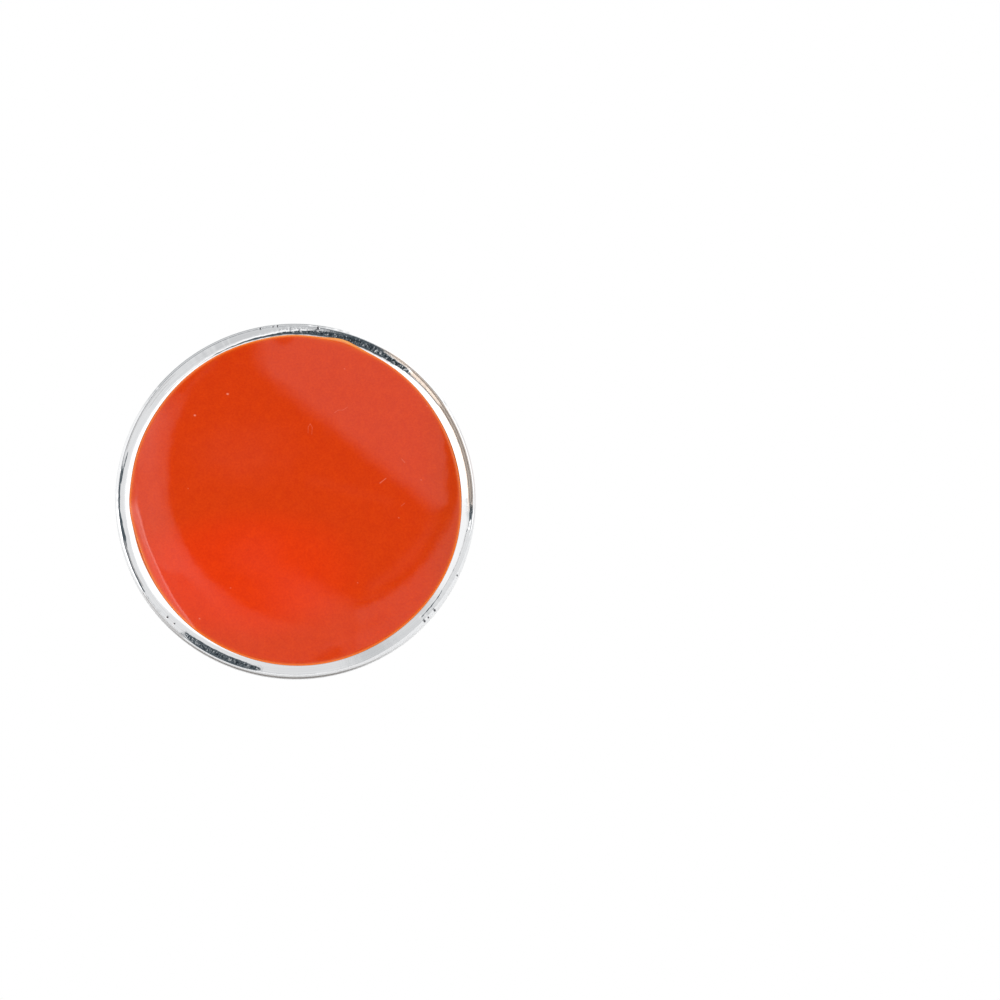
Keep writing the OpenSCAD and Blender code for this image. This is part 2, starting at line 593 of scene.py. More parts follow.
@dataclass(frozen=True)
class Setting:
    """The silver dish with its hand-worked lip and the ear post soldered to its back."""

    dish: Dish
    post: EarPost
    edge: Callable[[float], float]
    step_deg: float = 0.5
    back_steps: int = 8
    cavity_steps: int = 4
    slope_samples: int = 60
    roll_steps: int = 12
    sharp_deg: float = 40.0
    # how far inside the enamel's edge the hand-worked part starts, and how its slope nears the land's
    start_inside: float = 0.06
    near_power: float = 0.6
    land_ease: float = 0.015
    # share of the ridge over which its slope fades out, and how steeply the outer roll has to
    # start for it not to fade
    ridge_end: float = 0.35
    full_roll_deg: float = 10.0
    # a ridge of this slope or more starts steeper, over a short width
    steep_ridge_deg: float = 15.7
    ridge_start_deg: float = 8.0
    ridge_start_mm: float = 0.09
    # waves of a land's inner and outer edge: two rates and the second one's phase
    unevenness: float = 0.014
    waves: tuple[tuple[float, float, float], ...] = ((0.9, 2.3, 1.0), (1.3, 3.1, 2.0))
    # angle, land's inner and outer radius, its slope, the ridge's slope, the crest's radius,
    # the slope at which the outer roll starts, and the slope just before the land
    sections: tuple[LipSection, ...] = tuple(LipSection(*row) for row in (
        (0, 9.600, 9.785, 0.5, 0, 9.800, 0, 15),
        (15, 9.595, 9.750, 0.5, 0, 9.775, 0, 15),
        (30, 9.580, 9.730, 0.5, 0, 9.765, 0, 15),
        (34, 9.545, 9.572, 0.5, 15, 9.810, 0, 15),
        (46, 9.535, 9.562, 0.5, 15, 9.800, 0, 15),
        (50, 9.435, 9.665, 3, 12, 9.800, 0, 16),
        (56, 9.380, 9.645, 3, 12, 9.800, 0, 17),
        (61, 9.350, 9.755, 3, 3, 9.800, 0, 18),
        (68, 9.350, 9.760, 3, 3, 9.800, 0, 18),
        (75, 9.350, 9.690, 3, 6, 9.800, 0, 18),
        (81, 9.355, 9.655, 3, 14, 9.815, 6, 18),
        (86, 9.355, 9.590, 3, 16, 9.825, 12, 18),
        (92, 9.355, 9.530, 3, 16, 9.830, 15, 18),
        (100, 9.325, 9.440, 3, 16, 9.840, 15, 18),
        (115, 9.320, 9.365, 3, 16, 9.840, 15, 18),
        (127, 9.330, 9.330, 20, 16, 9.840, 15, 20),
        (150, 9.450, 9.450, 18, 15.5, 9.830, 15, 18),
        (161, 9.630, 9.640, 14, 15, 9.820, 15, 15.5),
        (165, 9.645, 9.675, 2, 14, 9.820, 14, 15.5),
        (168, 9.650, 9.680, 2, 13, 9.810, 10, 15),
        (172, 9.675, 9.712, 2, 8, 9.800, 4, 15),
        (176, 9.728, 9.775, 1, 2, 9.800, 0, 15),
        (183, 9.740, 9.785, 1, 2, 9.805, 0, 15),
        (188, 9.680, 9.775, 2, 3, 9.800, 0, 15),
        (192, 9.645, 9.775, 2, 3, 9.800, 0, 15),
        (197, 9.730, 9.815, 2, 3, 9.835, 0, 15),
        (205, 9.808, 9.858, 2, 3, 9.878, 0, 15),
        (211, 9.840, 9.898, 3, 6, 9.925, 2, 15),
        (213.5, 9.880, 9.884, 12, 13, 9.935, 10, 15),
        (228, 9.680, 9.680, 15, 15, 9.940, 14, 15),
        (232, 9.650, 9.890, 2, 8, 9.955, 2, 15),
        (237, 9.600, 9.950, 2, 3, 9.972, 0, 15),
        (245, 9.595, 9.958, 2, 3, 9.975, 0, 15),
        (252, 9.615, 9.950, 2, 3, 9.972, 0, 15),
        (256, 9.700, 9.910, 2, 8, 9.952, 2, 15),
        (259, 9.790, 9.795, 14, 15.5, 9.938, 15, 15.5),
        (290, 9.600, 9.600, 15.5, 15.5, 9.925, 27, 15.5),
        (300, 9.600, 9.600, 15.5, 15.5, 9.890, 32, 15.5),
        (314, 9.600, 9.600, 15.5, 15.5, 9.860, 32, 18),
        (316, 9.612, 9.658, 1, 15.5, 9.850, 32, 22),
        (324, 9.606, 9.652, 1, 15.5, 9.840, 32, 22),
        (327, 9.590, 9.608, 8, 15.5, 9.830, 32, 22),
        (338, 9.590, 9.608, 8, 15.5, 9.830, 32, 22),
        (346, 9.610, 9.640, 6, 15.5, 9.840, 30, 22),
        (351, 9.665, 9.700, 5, 13, 9.830, 10, 20),
        (355, 9.660, 9.785, 1, 2, 9.810, 0, 16),
    ))
    # angle, radius and width of each pit
    pits: tuple[Pit, ...] = tuple(Pit(*row) for row in (
        (82.0, 9.80, 0.07), (95.2, 9.87, 0.05), (96.6, 9.87, 0.04), (100.8, 9.87, 0.05),
        (222.7, 9.76, 0.05), (225.8, 9.745, 0.035), (315.0, 9.92, 0.055), (316.7, 9.93, 0.04),
        (319.8, 9.93, 0.055), (333.3, 9.93, 0.04),
    ))
    # how finely and how far round a pit the sections are, and how many of its widths it reaches
    pit_step_deg: float = 0.12
    pit_reach_deg: float = 1.2
    pit_widths: float = 3.0

    def angles(self) -> list[float]:
        """Spreads the lip's sections evenly, and closer together at the pits.

        Returns:
            Their directions, in degrees from 0 up to 360.
        """
        found = {round(k * self.step_deg, 4) for k in range(int(360 / self.step_deg))}
        steps = int(self.pit_reach_deg / self.pit_step_deg)
        for pit in self.pits:
            found |= {round((pit.angle_deg + k * self.pit_step_deg) % 360.0, 4)
                      for k in range(-steps, steps + 1)}
        return sorted(found)

    def section_at(self, angle: float) -> LipSection:
        """Mixes the lip's section from the two nearest rows of the table, and makes it uneven.

        Args:
            angle: The direction, in degrees.

        Returns:
            The section.
        """
        rows = self.sections
        after = next((k for k, row in enumerate(rows) if row.angle_deg > angle), len(rows))
        first, second = rows[after - 1], rows[after % len(rows)]
        share = ((angle - first.angle_deg) % 360.0) / ((second.angle_deg - first.angle_deg) % 360.0)
        share = share * share * (3 - 2 * share)
        names = [f.name for f in fields(LipSection)][1:]
        mixed = [getattr(first, n) * (1 - share) + getattr(second, n) * share for n in names]
        for k, (rate, fast, phase) in enumerate(self.waves):
            mixed[k] += self.unevenness * (math.sin(angle * rate) + math.sin(angle * fast + phase)) / 2
        mixed[1] = max(mixed[0], mixed[1])
        return LipSection(angle, *mixed)

    def slope_deg(self, radius: float, start: float, start_deg: float, row: LipSection) -> float:
        """The lip's slope at a radius, in degrees.

        Args:
            radius: Where.
            start: Radius from which the lip is worked by hand.
            start_deg: Slope there.
            row: The lip's section.

        Returns:
            The slope, above 0 where the lip rises outwards.
        """
        if radius < row.land_in:
            share = (radius - start) / max(row.land_in - start, LEAST)
            slope = start_deg + (row.near_deg - start_deg) * share ** self.near_power
        elif radius < row.land_out:
            slope = row.land_deg
        else:
            share = (radius - row.land_out) / max(row.crest - row.land_out, LEAST)
            kept = min(1.0, row.roll_deg / self.full_roll_deg)
            slope = row.ridge_deg * (kept + (1 - kept) * min(1.0, (1 - share) / self.ridge_end))
            if row.ridge_deg > self.steep_ridge_deg:
                slope += self.ridge_start_deg * math.exp((row.land_out - radius) / self.ridge_start_mm)
            slope = max(slope, row.land_deg * (1 - share))
        if row.land_in <= radius < row.land_in + self.land_ease and row.land_out > row.land_in:
            share = (radius - row.land_in) / self.land_ease
            slope = row.near_deg * (1 - share) + slope * share
        return slope

    def lip(self, angle: float) -> list[Pair]:
        """Works out one section of the lip.

        Args:
            angle: Its direction, in degrees.

        Returns:
            Pairs of radius and height, from the outer wall to the cavity.
        """
        dish, row = self.dish, self.section_at(angle)
        start = min(self.edge(angle), row.land_in) - self.start_inside
        start_deg = math.degrees(math.asin((dish.crest - start) / dish.lip_slope))
        radii = [dish.cavity + (start - dish.cavity) * k / self.cavity_steps
                 for k in range(self.cavity_steps + 1)]
        section = [(r, dish.slope_height(r)) for r in radii]
        height = section[-1][1]
        width = (row.crest - start) / self.slope_samples
        for k in range(self.slope_samples):
            middle = start + width * (k + 0.5)
            height += width * math.tan(math.radians(self.slope_deg(middle, start, start_deg, row)))
            section.append((start + width * (k + 1), height))
        first = math.radians(row.roll_deg)
        roll = (dish.radius - row.crest) / (1 - math.sin(first))
        for k in range(1, self.roll_steps + 1):
            a = first + (math.pi / 2 - first) * k / self.roll_steps
            section.append((row.crest + roll * (math.sin(a) - math.sin(first)),
                            height - roll * (math.cos(first) - math.cos(a))))
        return section[::-1]

    def point(self, angle: float, radius: float, height: float) -> tuple[float, float, float]:
        """One point of the lip, lower where a pit is sunk into the lip's top.

        Args:
            angle: Its direction, in degrees.
            radius: Its radius.
            height: Its height without pits.

        Returns:
            The point, on the face.
        """
        on_top = min(1.0, max(0.0, (height - self.dish.height) / self.dish.lip_roll + 1.0) * 2.0)
        for pit in self.pits:
            across = math.radians(turn_between(angle, pit.angle_deg)) * radius
            away = math.hypot(across, radius - pit.radius) / pit.width
            if away < self.pit_widths:
                height -= on_top * pit.depth * math.exp(-away ** 2)
        a = math.radians(angle)
        return radius * math.cos(a), radius * math.sin(a), height

    def build(self, pose: RestPose) -> bpy.types.Object:
        """Makes the setting as one closed mesh.

        Args:
            pose: How the stud lies.

        Returns:
            The object, at the origin with its place in its mesh.
        """
        dish, post = self.dish, self.post
        coarse = [360.0 * k / post.sectors for k in range(post.sectors)]
        fine = self.angles()
        shell = Shell((0.0, post.up, -post.length))
        for radius, height in post.section():
            shell.ring(circle(coarse, radius, height, post.up), coarse)
        for k in range(self.back_steps + 1):
            a = math.pi / 2 * k / self.back_steps
            radius = dish.radius - dish.back_round + dish.back_round * math.sin(a)
            shell.ring(circle(fine, radius, dish.back_round * (1 - math.cos(a))), fine)
        for places in zip(*(self.lip(t) for t in fine)):
            shell.ring([self.point(turn, *place) for turn, place in zip(fine, places)], fine)
        shell.ring(circle(fine, dish.cavity, dish.floor), fine)
        shell.close((0.0, 0.0, dish.floor))
        mesh = shell.mesh("setting_polished")
        mesh.transform(pose.matrix() @ Matrix.Scale(MM, 4))
        LOG.info("setting_polished: %d triangles", finish_mesh(mesh, self.sharp_deg))
        return new_object("setting_polished", mesh)


@dataclass(frozen=True)
class Enamel:
    """The domed enamel, made by a tree of Geometry Nodes."""

    dish: Dish
    silver_width: float = 0.74
    crown: float = 0.8
    edge_bend: float = 0.03
    edge_band: float = 0.1
    # the least thickness over the lip's slope, the width over which it's reached, and how softly
    # it joins the dome
    film: float = 0.018
    film_start: float = 0.04
    film_join: float = 0.02
    gap: float = 0.012
    sectors: int = 480
    top_rings: int = 96
    side_rings: int = 6
    crowding: float = 1.8
    merge_m: float = 2e-8
    sharp_deg: float = 25.0
    # angle, reach and half width of each swell of the edge
    swells: tuple[EdgeSwell, ...] = tuple(EdgeSwell(*row) for row in (
        (13, -0.099, 33), (73, 0.177, 5.9), (90, 0.072, 10.4), (149, -0.080, 22.8),
        (183, 0.101, 8.3), (196, -0.190, 24.3), (275, 0.156, 28.6), (328, 0.066, 25.6),
    ))
    # where the bend of the edge is wider, and where its bright band is
    bends: tuple[EdgeSwell, ...] = (EdgeSwell(212, 0.15, 28), EdgeSwell(181, 0.22, 8))
    bands: tuple[EdgeSwell, ...] = (EdgeSwell(73, 0.09, 8),)

    @property
    def mean_edge(self) -> float:
        """Mean radius of the enamel's edge."""
        return self.dish.radius - self.silver_width

    @property
    def top(self) -> float:
        """Height of the dome's top."""
        return self.dish.height + self.crown

    @property
    def fall(self) -> float:
        """How far the even dome falls, by the square of the radius."""
        return (self.top - self.dish.slope_height(self.mean_edge, self.gap)) / self.mean_edge ** 2

    def edge(self, angle: float) -> float:
        """Radius of the enamel's edge in one direction."""
        return self.mean_edge + sum(
            s.reach_mm * math.exp(-(turn_between(angle, s.angle_deg) / s.half_width_deg) ** 2)
            for s in self.swells)

    def sizes(self) -> dict[str, float]:
        """The sizes that the tree takes, in millimetres."""
        dish = self.dish
        return {
            "Mean edge radius": self.mean_edge, "Top of dome": self.top, "Edge bend": self.edge_bend,
            "Edge band": self.edge_band, "Film": self.film, "Gap": self.gap,
            "Crest radius": dish.crest, "Slope radius": dish.lip_slope,
            "Slope centre": dish.height - dish.lip_slope, "Cavity radius": dish.cavity,
            "Dish floor": dish.floor,
        }

    def build(self, pose: RestPose, material: bpy.types.Material) -> bpy.types.Object:
        """Makes the enamel as one closed mesh.

        Args:
            pose: How the stud lies.
            material: The enamel's finish.

        Returns:
            The object, at the origin with its place in its mesh.
        """
        shaper = EnamelTree(self)
        shaper.connect(material)
        made = new_object("enamel_fill", bpy.data.meshes.new("enamel_base"))
        modifier = made.modifiers.new("fill", "NODES")
        modifier.node_group = shaper.tree
        for identifier, value in shaper.values.items():
            modifier[identifier] = value
        graph = bpy.context.evaluated_depsgraph_get()
        mesh = bpy.data.meshes.new_from_object(
            made.evaluated_get(graph), preserve_all_data_layers=True, depsgraph=graph)
        made.modifiers.remove(modifier)
        mesh.name = "enamel_fill"
        made.data = mesh
        mesh.transform(pose.matrix())
        LOG.info("enamel_fill: %d triangles", finish_mesh(mesh, self.sharp_deg))
        return made


class EnamelTree:
    """The tree that shapes a flat grid into the enamel: its columns go round, its rows from top to base."""

    def __init__(self, fill: Enamel) -> None:
        """Starts the tree, with a named input for each size.

        Args:
            fill: The enamel's sizes.
        """
        self.fill = fill
        self.tree = bpy.data.node_groups.new("enamel_fill", "GeometryNodeTree")
        self.graph = Graph(self.tree)
        self.values: dict[str, float] = {}
        for name, size in fill.sizes().items():
            socket = self.tree.interface.new_socket(name, in_out="INPUT", socket_type="NodeSocketFloat")
            self.values[socket.identifier] = size
        self.tree.interface.new_socket("Geometry", in_out="OUTPUT", socket_type="NodeSocketGeometry")
        given = self.graph.node("NodeGroupInput")
        self.size = {name: Field(self.graph, given.outputs[name]) for name in fill.sizes()}
        self.rows = fill.top_rings + fill.side_rings + 2
        x, y, _ = self.graph.split(self.graph.node("GeometryNodeInputPosition").outputs[0])
        self.turn = (x + 0.5) * math.tau
        self.row = self.graph.math("ROUND", (y + 0.5) * self.rows)
        mean = self.size["Mean edge radius"]
        self.edge = self.swelled(mean, fill.swells)
        self.fall = (self.size["Top of dome"] - self.slope(mean)) / (mean * mean)

    def swelled(self, size: Field, swells: Iterable[EdgeSwell]) -> Field:
        """Lets a size swell round the edge.

        Args:
            size: The size without swells.
            swells: The swells.

        Returns:
            The size in each direction.
        """
        for swell in swells:
            away = self.graph.math("WRAP", self.turn - math.radians(swell.angle_deg), math.pi, -math.pi)
            share = away / math.radians(swell.half_width_deg)
            size = size + swell.reach_mm * self.graph.math("EXPONENT", -1.0 * share * share)
        return size

    def slope(self, radius: Field) -> Field:
        """Works out the height of the lip's inner slope, raised by the gap.

        Args:
            radius: Where.

        Returns:
            The height.
        """
        reach, off = self.size["Slope radius"] + self.size["Gap"], self.size["Crest radius"] - radius
        under_root = self.graph.math("MAXIMUM", reach * reach - off * off, 0.0)
        return self.size["Slope centre"] + self.graph.math("SQRT", under_root)

    def dome(self, radius: Field) -> Field:
        """Height of the even dome at a radius."""
        return self.size["Top of dome"] - self.fall * radius * radius

    def passed(self, first: float, count: float) -> Field:
        """How much of a number of rows is passed after the first one, from 0 to 1."""
        return self.graph.clamp((self.row - first) / count, 0.0, 1.0)

    def profile(self) -> tuple[Field, Field, Field]:
        """Works out the section that the rows lie on.

        Returns:
            Each row's radius, its height, and how far inside the edge it is, in widths of the bright band.
        """
        fill, graph, edge, gap = self.fill, self.graph, self.edge, self.size["Gap"]
        bend = self.swelled(self.size["Edge bend"], fill.bends)
        band = self.swelled(self.size["Edge band"], fill.bands)

        top_radius = edge * (1.0 - (1.0 - self.passed(0, fill.top_rings)) ** fill.crowding)
        drop = graph.math("MINIMUM", self.slope(edge) - self.dome(edge), 0.0)
        pool = self.dome(top_radius) + drop * graph.math("EXPONENT", (top_radius - edge) / bend)
        thick = self.size["Film"] * (1.0 - graph.math("EXPONENT", (top_radius - edge) / fill.film_start))
        top_height = graph.math("SMOOTH_MAX", pool, self.slope(top_radius) + thick, fill.film_join)

        last_side = fill.top_rings + fill.side_rings
        down = self.passed(fill.top_rings, fill.side_rings)
        side_radius = edge + (self.size["Cavity radius"] - gap - edge) * down
        sink = self.passed(last_side, 1)
        side_height = self.slope(side_radius) * (1.0 - sink) + (self.size["Dish floor"] + gap) * sink

        is_side = graph.math("GREATER_THAN", self.row, fill.top_rings + 0.5)
        inwards = 1.0 - self.passed(last_side + 1, 1)
        radius = top_radius * (1.0 - is_side) + side_radius * inwards * is_side
        height = top_height * (1.0 - is_side) + side_height * is_side
        return radius, height, (edge - top_radius) / band * (1.0 - is_side)

    def connect(self, material: bpy.types.Material) -> None:
        """Sets the grid on the section, closes it and gives it its finish.

        Args:
            material: The finish.
        """
        graph = self.graph
        grid = graph.node("GeometryNodeMeshGrid", None, {
            "Size X": 1.0, "Size Y": 1.0, "Vertices X": self.fill.sectors + 1, "Vertices Y": self.rows + 1})
        radius, height, inward = self.profile()
        place = graph.join(radius * graph.math("COSINE", self.turn) * MM,
                           radius * graph.math("SINE", self.turn) * MM, height * MM)
        stored = graph.node("GeometryNodeStoreNamedAttribute", {"data_type": "FLOAT", "domain": "POINT"}, {
            "Geometry": grid.outputs["Mesh"], "Name": INWARD, "Value": inward})
        shaped = graph.node("GeometryNodeSetPosition", None, {
            "Geometry": stored.outputs[0], "Position": place})
        merged = graph.node("GeometryNodeMergeByDistance", None, {
            "Geometry": shaped.outputs[0], "Distance": self.fill.merge_m})
        real = graph.node("GeometryNodeRealizeInstances", None, {"Geometry": merged.outputs[0]})
        dressed = graph.node("GeometryNodeSetMaterial", None, {
            "Geometry": real.outputs[0], "Material": material})
        graph.node("NodeGroupOutput", None, {0: dressed.outputs[0]})


@dataclass(frozen=True)
class WearReflectionStretch:
    """A stretch of the lip that is worn rougher and carries a painted dark reflection: its middle and half
    its size, round the lip and across it.
    """

    angle_deg: float
    half_deg: float
    radius: float
    half_mm: float


@dataclass(frozen=True)
class Crease:
    """A fine dark line of painted shade along a crease of the lip, between two places given by angle and
    radius.
    """

    start_deg: float
    start_mm: float
    end_deg: float
    end_mm: float
    width: float
    strength: float


@dataclass(frozen=True)
class PolishedSilver:
    """Hand-polished silver: bright, worn and rougher on its lands with a painted dark reflection on them,
    painted shade in its pits and a scuffed stretch of lip.

    A pair gives where a mask is 0 and where it is 1, and two pairs where it rises and where it
    falls again. A pair that names a middle gives that and the reach to both sides.
    """

    colour: Colour = (0.93, 0.935, 0.945)
    scuffed: Colour = (0.88, 0.735, 0.625)
    scuffed_edge: Colour = (0.42, 0.345, 0.310)
    # the dark colour of the worn lands: a painted dark reflection
    wear_and_dark_reflection: Colour = (0.16, 0.17, 0.20)
    # the colour of the painted shade in the pits
    pit_shade: Colour = (0.10, 0.10, 0.11)
    # the colour of the painted reflection along the outer wall
    wall_reflection_colour: Colour = (0.17, 0.15, 0.135)
    # the colour of the painted shade along the creases
    crease_shade: Colour = (0.16, 0.13, 0.115)
    blush: Colour = (0.94, 0.885, 0.87)
    cloud_shade: float = 0.96
    streak_shade: float = 0.92
    streak_shade_at: Pair = (0.62, 0.36)

    roughness: float = 0.045
    scuffed_roughness: float = 0.38
    streak_roughness: float = 0.03
    worn_roughness: float = 0.46
    dull_roughness: float = 0.5
    dull_metal: float = 0.92
    reflectance: float = 0.2
    streak_height: float = 0.0000010
    mottle_height: float = 0.0000022
    # the scuffed roughness has an even part and a mottled one
    scuffed_mottle: Pair = (0.75, 0.5)
    # how finely the streaks change along the face, by radius and by height
    streaks: Noise = Noise(1.0, 4.0, 0.6)
    streaks_by: tuple[float, float, float] = (0.25, 16.0, 9.0)
    # the same for the brushed patches, by angle and by radius
    brushed: Noise = Noise(1.0, 3.0, 0.65)
    brushed_by: Pair = (1.5, 3.5)
    mottle: Noise = Noise(9.0, 5.0, 0.65)
    cloud: Noise = Noise(1.1)

    # height over the back from which a place is on top of the lip
    top: Pair = (1.20, 1.35)
    wear_and_reflection_at: tuple[WearReflectionStretch, ...] = (
        WearReflectionStretch(70.0, 26.0, 9.57, 0.30), WearReflectionStretch(-116.0, 15.5, 9.78, 0.25),
        WearReflectionStretch(-3.5, 3.6, 9.765, 0.13))
    stretch_fade_deg: float = 3.0
    # where the worn lands take the painted dark reflection, by the patchy noise
    worn_dark_at: Pair = (0.52, 0.42)
    worn_rough_at: Pair = (0.50, 0.62)

    # the scuffed stretch, then the short one beyond its end
    scuffed_deg: tuple[Pair, Pair] = ((-7.0, 1.0), (46.5, 48.5))
    scuffed_mm: tuple[Pair, Pair] = ((9.50, 9.56), (9.80, 9.86))
    beyond_middle_deg: Pair = (53.0, 11.0)
    beyond_mm: tuple[Pair, Pair] = ((9.66, 9.72), (9.84, 9.90))
    # the stretch's two dark edges: the ring between them, each one's way from it, and their end
    edges_ring: float = 9.688
    edges_middle: Pair = (0.070, 0.045)
    edges_end_deg: Pair = (33.0, 31.0)
    edges_mottle: Pair = (0.25, 0.5)

    blush_mm: Pair = (9.87, 9.91)
    blush_middle_deg: Pair = (8.0, 22.0)
    # painted reflection: a dark line along the outer wall, at the foot
    wall_mm: Pair = (9.975, 9.995)
    wall_middle_height: Pair = (0.95, 0.56)
    wall_deg: float = -102.0
    wall_half_deg: Pair = (60.0, 20.0)
    # painted shade in a pit, by its distance from the middle in widths of the pit
    pit_shade_widths: Pair = (1.7, 0.7)

    # painted shade along the lip's creases
    crease_fade_deg: float = 1.0
    crease_mottle: Pair = (0.20, 0.45)
    creases: tuple[Crease, ...] = tuple(Crease(*row) for row in (
        (25.0, 9.605, 33.0, 9.590, 0.06, 0.75),
        (33.0, 9.548, 48.0, 9.480, 0.05, 0.85),
        (31.0, 9.735, 48.0, 9.742, 0.055, 0.85),
        (133.0, 9.735, 150.0, 9.800, 0.05, 0.25),
        (150.0, 9.800, 163.0, 9.775, 0.05, 0.35),
        (137.0, 9.610, 147.0, 9.625, 0.04, 0.25),
        (-33.0, 9.600, -12.0, 9.640, 0.045, 0.22),
        (-149.0, 9.985, -129.0, 9.985, 0.055, 0.6),
        (-166.0, 9.775, -150.0, 9.800, 0.055, 0.6),
    ))

    def wear_and_reflection_mask(self, face: Face) -> Field:
        """Where the lip's lands are worn rougher and darkened by a painted reflection."""
        graph = face.graph
        return sum(graph.step(abs(face.angle - at.angle_deg), at.half_deg, at.half_deg - self.stretch_fade_deg)
                   * graph.bump(face.radius, at.radius, at.half_mm) for at in self.wear_and_reflection_at)

    def scuffed_mask(self, face: Face) -> Field:
        """Masks the lip's scuffed stretches.

        Args:
            face: The coordinates.

        Returns:
            The mask.
        """
        graph = face.graph
        stretch = graph.band(face.angle, *self.scuffed_deg) * graph.band(face.radius, *self.scuffed_mm)
        beyond = graph.bump(face.angle, *self.beyond_middle_deg) * graph.band(face.radius, *self.beyond_mm)
        return graph.largest(stretch, beyond)

    def pit_shade_mask(self, face: Face, pits: Iterable[Pit]) -> Field:
        """Masks the painted shade in the pits.

        Args:
            face: The coordinates.
            pits: The lip's pits.

        Returns:
            The mask, above 1 where pits overlap.
        """
        masks = []
        for pit in pits:
            a = math.radians(pit.angle_deg)
            across, up = pit.radius * math.cos(a), pit.radius * math.sin(a)
            away = face.graph.hypot(face.across - across, face.up - up)
            masks.append(face.graph.step(away, *(pit.width * reach for reach in self.pit_shade_widths)))
        return sum(masks)

    def wall_reflection_mask(self, face: Face) -> Field:
        """Masks the painted reflection: a dark line on the outer wall.

        Args:
            face: The coordinates.

        Returns:
            The mask.
        """
        graph = face.graph
        ring = graph.step(face.radius, *self.wall_mm) * graph.bump(face.out, *self.wall_middle_height)
        return ring * graph.step(abs(face.angle - self.wall_deg), *self.wall_half_deg)

    def crease_mask(self, face: Face, crease: Crease) -> Field:
        """Masks the painted shade of one crease.

        Args:
            face: The coordinates.
            crease: The crease.

        Returns:
            The mask, up to the crease's strength.
        """
        graph, fade = face.graph, self.crease_fade_deg
        rise = (crease.end_mm - crease.start_mm) / (crease.end_deg - crease.start_deg)
        off = face.radius - (face.angle - crease.start_deg) * rise - crease.start_mm
        along = graph.band(face.angle, (crease.start_deg - fade, crease.start_deg + fade),
                           (crease.end_deg - fade, crease.end_deg + fade))
        return graph.step(abs(off), crease.width, 0.0) * crease.strength * along

    def material(self, pose: RestPose, pits: Iterable[Pit]) -> bpy.types.Material:
        """The finish, on a pattern centred on the face.

        Args:
            pose: How the stud lies.
            pits: The lip's pits, which are darkened with painted shade.

        Returns:
            The material.
        """
        made, graph = new_material("polished_silver")
        face = Face(graph, pose)
        plane, by_radius, by_height = self.streaks_by
        rings = graph.join(face.across * plane, face.up * plane,
                           face.radius * by_radius + face.out * by_height)
        streaks = graph.noise(rings, self.streaks)
        mottle = graph.noise(face.vector, self.mottle)
        cloud = graph.noise(face.vector, self.cloud)
        along = graph.join(face.angle * self.brushed_by[0], face.radius * self.brushed_by[1])
        patchy = (graph.noise(along, self.brushed) + mottle) * 0.5

        on_lip = graph.step(face.out, *self.top)
        wear_and_dark_reflection = self.wear_and_reflection_mask(face) * on_lip
        scuffed = self.scuffed_mask(face) * on_lip
        edges = graph.bump(abs(face.radius - self.edges_ring), *self.edges_middle) * scuffed
        edges = edges * graph.step(face.angle, *self.edges_end_deg) * graph.step(mottle, *self.edges_mottle)
        broken = graph.step(mottle, *self.crease_mottle) * on_lip
        creases = [self.crease_mask(face, crease) * broken for crease in self.creases]
        blush = graph.step(face.radius, *self.blush_mm) * graph.bump(face.angle, *self.blush_middle_deg)
        wall = self.wall_reflection_mask(face)
        pit_shaded = graph.math("MINIMUM", self.pit_shade_mask(face, pits) * on_lip, 1.0)

        streaked = graph.step(streaks, *self.streak_shade_at)
        shade = graph.blend(cloud, self.shaded(self.cloud_shade), self.colour)
        shade = graph.blend(streaked, shade, self.shaded(self.streak_shade))
        # painted reflection: the worn lands are darkened in patches
        shade = graph.blend(wear_and_dark_reflection * graph.step(patchy, *self.worn_dark_at), shade, self.wear_and_dark_reflection)
        shade = graph.blend(scuffed, shade, self.scuffed)
        shade = graph.blend(edges, shade, self.scuffed_edge)
        # painted shade: dark lines along the creases
        for crease in creases:
            shade = graph.blend(crease, shade, self.crease_shade)
        shade = graph.blend(blush * on_lip, shade, self.blush)
        # painted reflection: a dark line along the outer wall
        shade = graph.blend(wall, shade, self.wall_reflection_colour)
        # painted shade: the pits are darkened in colour
        shade = graph.blend(pit_shaded, shade, self.pit_shade)

        # the painted wall reflection and the painted crease shade are also rougher and less metallic
        dull = graph.largest(wall, *creases)
        rough = self.roughness + streaks * self.streak_roughness + dull * self.dull_roughness
        rough = rough + wear_and_dark_reflection * graph.step(patchy, *self.worn_rough_at) * self.worn_roughness
        uneven = mottle * self.scuffed_mottle[1] + self.scuffed_mottle[0]
        rough = rough + scuffed * (self.scuffed_roughness - self.roughness) * uneven
        surface = graph.node("ShaderNodeBsdfPrincipled", None, {
            "Base Color": shade, "Metallic": 1.0 - dull * self.dull_metal, "Roughness": rough,
            "Normal": graph.relief(streaks * self.streak_height + mottle * self.mottle_height),
            "Specular IOR Level": self.reflectance})
        graph.node("ShaderNodeOutputMaterial", None, {"Surface": surface.outputs[0]})
        return made

    def shaded(self, share: float) -> Colour:
        """The metal's colour, darker by a factor."""
        return tuple(c * share for c in self.colour)


@dataclass(frozen=True)
class Mark:
    """A fine mark on the enamel, between two points of its face, in millimetres; a light mark is a painted
    glint.
    """

    start: Pair
    end: Pair
    width: float
    strength: float


@dataclass(frozen=True)
class Tint:
    """Fine changes of the enamel's colour: a noise, and what it multiplies the colour by."""

    noise: Noise
    low: Colour
    high: Colour


